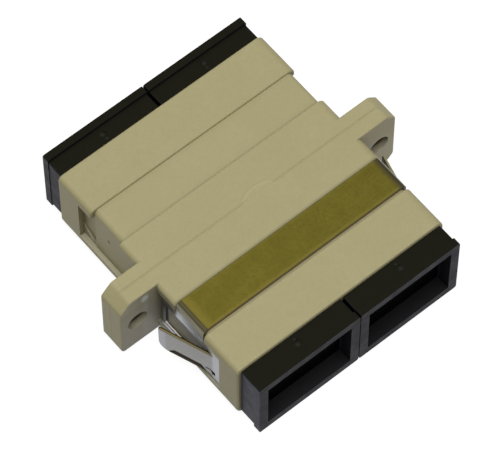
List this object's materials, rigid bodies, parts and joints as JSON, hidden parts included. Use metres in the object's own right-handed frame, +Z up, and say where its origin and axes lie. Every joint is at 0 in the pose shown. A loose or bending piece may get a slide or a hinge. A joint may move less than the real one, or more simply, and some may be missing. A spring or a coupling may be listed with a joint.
{
  "type": "sc duplex fibre optic adapter",
  "caption": "Two-port SC fibre adapter with a screw flange, a spring clip for panel cut-outs and push-in dust caps on its ports.",
  "frame": {"origin": "centre of the adapter, on the seam plane of the flange and midway between the two ports", "axes": "+X across the two ports along the flange, +Y along the ports towards the rear, -Y towards the front where the spring clip is, +Z up through the clip's bridge"},
  "size_m": [0.035, 0.0336, 0.009],
  "materials": {
    "housing": "satin moulded",
    "clip": "yellow passivated spring sheet",
    "cap": "smooth black",
    "insert": "moulded",
    "sleeve": "ground"
  },
  "bodies": {
    "adapter": {"housing_rear": "housing", "housing_front": "housing", "retaining_clip": "clip", "latch_insert_rear_left": "insert", "latch_insert_front_left": "insert", "alignment_sleeve_left": "sleeve", "latch_insert_rear_right": "insert", "latch_insert_front_right": "insert", "alignment_sleeve_right": "sleeve"},
    "cap_rear_left": {"dust_cap_rear_left": "cap"},
    "cap_rear_right": {"dust_cap_rear_right": "cap"},
    "cap_front_left": {"dust_cap_front_left": "cap"},
    "cap_front_right": {"dust_cap_front_right": "cap"}
  },
  "joints": [
    {"name": "cap_rear_left_pull", "type": "slide", "parent": "adapter", "child": "cap_rear_left", "axis": [0, 1, 0], "range_m": [0, 0.012]},
    {"name": "cap_rear_right_pull", "type": "slide", "parent": "adapter", "child": "cap_rear_right", "axis": [0, 1, 0], "range_m": [0, 0.012]},
    {"name": "cap_front_left_pull", "type": "slide", "parent": "adapter", "child": "cap_front_left", "axis": [0, -1, 0], "range_m": [0, 0.012]},
    {"name": "cap_front_right_pull", "type": "slide", "parent": "adapter", "child": "cap_front_right", "axis": [0, -1, 0], "range_m": [0, 0.012]}
  ]
}
